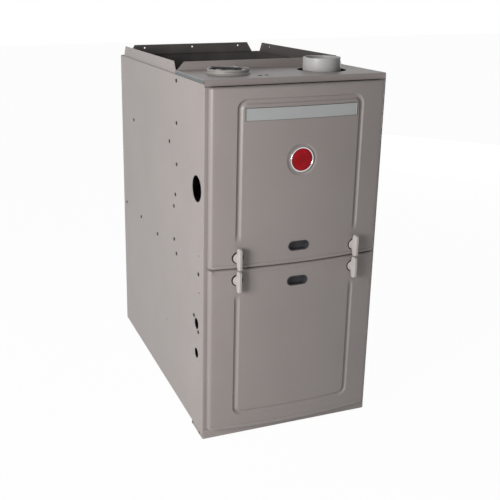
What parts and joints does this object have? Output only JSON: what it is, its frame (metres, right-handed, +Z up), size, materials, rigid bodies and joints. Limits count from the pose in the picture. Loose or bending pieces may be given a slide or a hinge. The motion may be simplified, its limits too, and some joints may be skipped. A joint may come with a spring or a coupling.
{
  "type": "forced air gas furnace",
  "caption": "Upflow forced air gas furnace with bowed lift-off doors, quarter-turn knobs, a blower, burners, tubular heat exchanger, inducer and top duct opening.",
  "frame": {"origin": "on the floor, below the middle of the bounding box", "axes": "+Z up, -Y towards someone facing the doors, +X to that person's right"},
  "size_m": [0.4482, 0.7686, 0.893],
  "materials": {
    "painted_steel": "satin warm grey powder paint",
    "galvanised_steel": "zinc coated sheet with a soft spangle",
    "aluminised_steel": "dull aluminised sheet",
    "dark_steel": "dark satin steel",
    "knob_plastic": "moulded grey plastic, fine grain",
    "black_plastic": "moulded black plastic, fine grain",
    "white_plastic": "smooth white pipe plastic",
    "rubber": "soft black rubber",
    "silver_strip": "silver grey brushed strip, bare",
    "chrome_ring": "bright plated ring",
    "red_enamel": "deep red domed enamel, bare",
    "cast_alloy": "cast alloy, lightly tumbled",
    "circuit_board": "green laminate with black parts",
    "ceramic": "unglazed pale ceramic",
    "red_plastic": "moulded red plastic"
  },
  "bodies": {
    "root": {"left_side_panel": "painted_steel", "right_side_panel": "painted_steel", "back_panel": "painted_steel", "top_cap": "painted_steel", "base_pan": "galvanised_steel", "front_base_rail": "painted_steel", "centre_rail": "painted_steel", "blower_deck": "galvanised_steel", "vestibule_panel": "galvanised_steel", "intake_collar": "cast_alloy", "intake_seal": "rubber", "intake_pipe": "white_plastic", "vent_stub": "white_plastic", "vent_pipe": "white_plastic", "vent_boot": "rubber", "blower_housing": "galvanised_steel", "left_blower_rail": "galvanised_steel", "right_blower_rail": "galvanised_steel", "blower_motor": "dark_steel", "motor_mount": "galvanised_steel", "control_panel": "galvanised_steel", "control_board": "circuit_board", "transformer": "dark_steel", "junction_box": "galvanised_steel", "door_switch": "black_plastic", "burner_box": "aluminised_steel", "burner_1": "aluminised_steel", "burner_2": "aluminised_steel", "burner_3": "aluminised_steel", "gas_manifold": "dark_steel", "gas_valve": "cast_alloy", "igniter": "ceramic", "flame_sensor": "ceramic", "rollout_switch": "black_plastic", "heat_tube_1": "aluminised_steel", "heat_tube_2": "aluminised_steel", "heat_tube_3": "aluminised_steel", "secondary_coil": "aluminised_steel", "collector_box": "black_plastic", "inducer_housing": "black_plastic", "inducer_motor": "dark_steel", "pressure_switch": "black_plastic", "condensate_trap": "white_plastic"},
    "upper_door_unit": {"upper_door": "painted_steel", "name_strip": "silver_strip", "badge_ring": "chrome_ring", "badge_disc": "red_enamel", "upper_finger_cup": "black_plastic"},
    "lower_door_unit": {"lower_door": "painted_steel", "lower_finger_cup": "black_plastic"},
    "upper_left_knob": {"upper_left_knob": "knob_plastic"},
    "upper_right_knob": {"upper_right_knob": "knob_plastic"},
    "lower_left_knob": {"lower_left_knob": "knob_plastic"},
    "lower_right_knob": {"lower_right_knob": "knob_plastic"},
    "blower_wheel": {"blower_wheel": "galvanised_steel"},
    "inducer_wheel": {"inducer_wheel": "aluminised_steel"},
    "door_switch_plunger": {"door_switch_plunger": "white_plastic"},
    "gas_valve_knob": {"gas_valve_knob": "red_plastic"},
    "rollout_reset_button": {"rollout_reset_button": "red_plastic"}
  },
  "joints": [
    {"name": "upper_door_lift_off", "type": "slide", "parent": "root", "child": "upper_door_unit", "axis": [0, -1, 0], "range_m": [0, 0.25]},
    {"name": "lower_door_lift_off", "type": "slide", "parent": "root", "child": "lower_door_unit", "axis": [0, -1, 0], "range_m": [0, 0.25]},
    {"name": "upper_left_knob_turn", "type": "hinge", "parent": "upper_door_unit", "child": "upper_left_knob", "pos_m": [-0.1475, -0.36205, 0.465], "axis": [0, -1, 0], "range_deg": [0, 90]},
    {"name": "upper_right_knob_turn", "type": "hinge", "parent": "upper_door_unit", "child": "upper_right_knob", "pos_m": [0.1475, -0.36205, 0.465], "axis": [0, 1, 0], "range_deg": [0, 90]},
    {"name": "lower_left_knob_turn", "type": "hinge", "parent": "lower_door_unit", "child": "lower_left_knob", "pos_m": [-0.1475, -0.36205, 0.411], "axis": [0, 1, 0], "range_deg": [0, 90]},
    {"name": "lower_right_knob_turn", "type": "hinge", "parent": "lower_door_unit", "child": "lower_right_knob", "pos_m": [0.1475, -0.36205, 0.411], "axis": [0, -1, 0], "range_deg": [0, 90]},
    {"name": "blower_spin", "type": "hinge", "parent": "root", "child": "blower_wheel", "pos_m": [0, 0.06025, 0.215], "axis": [1, 0, 0], "continuous": true},
    {"name": "inducer_spin", "type": "hinge", "parent": "root", "child": "inducer_wheel", "pos_m": [0.062, -0.22675, 0.54], "axis": [0, 1, 0], "continuous": true},
    {"name": "door_switch_press", "type": "slide", "parent": "root", "child": "door_switch_plunger", "axis": [0, 1, 0], "range_m": [0, 0.006], "stiffness_N_per_m": 200},
    {"name": "gas_valve_turn", "type": "hinge", "parent": "root", "child": "gas_valve_knob", "pos_m": [0.006, -0.32205, 0.636], "axis": [0, 1, 0], "range_deg": [0, 90]},
    {"name": "rollout_reset_press", "type": "slide", "parent": "root", "child": "rollout_reset_button", "axis": [0, 0, -1], "range_m": [0, 0.002], "stiffness_N_per_m": 800}
  ]
}
